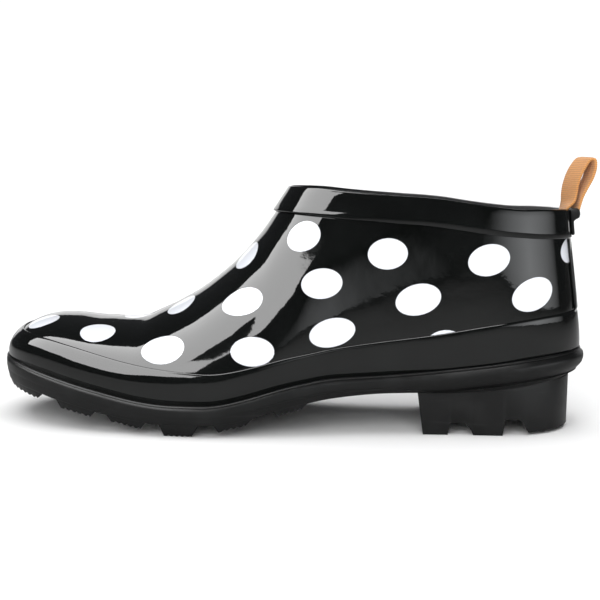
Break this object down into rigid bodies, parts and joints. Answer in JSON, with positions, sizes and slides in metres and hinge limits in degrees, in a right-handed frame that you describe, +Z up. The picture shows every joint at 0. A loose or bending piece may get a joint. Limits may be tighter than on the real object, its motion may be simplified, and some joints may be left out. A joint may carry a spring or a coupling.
{
  "type": "rubber ankle boot",
  "caption": "Low glossy rubber ankle boot for the left foot, with a notched heel, a lugged sole, a proud collar band and a webbing pull loop at the back.",
  "frame": {"origin": "under the middle of the boot's box, on the floor", "axes": "+X from toe to heel, -Y the outer side of the foot, +Z up"},
  "size_m": [0.2888, 0.1014, 0.1279],
  "materials": {
    "gloss_rubber": "black moulded rubber with a lacquer gloss, and printed white oval dots on the upper",
    "matte_rubber": "black moulded rubber, satin to matte",
    "webbing": "tan ribbed webbing",
    "footbed": "dark knitted cloth on foam"
  },
  "bodies": {
    "root": {"upper": "gloss_rubber", "collar_band": "gloss_rubber", "foxing": "gloss_rubber", "back_stay": "gloss_rubber", "loop_tab": "matte_rubber", "pull_loop": "webbing", "outsole": "matte_rubber", "heel": "matte_rubber", "insole": "footbed"}
  },
  "joints": []
}
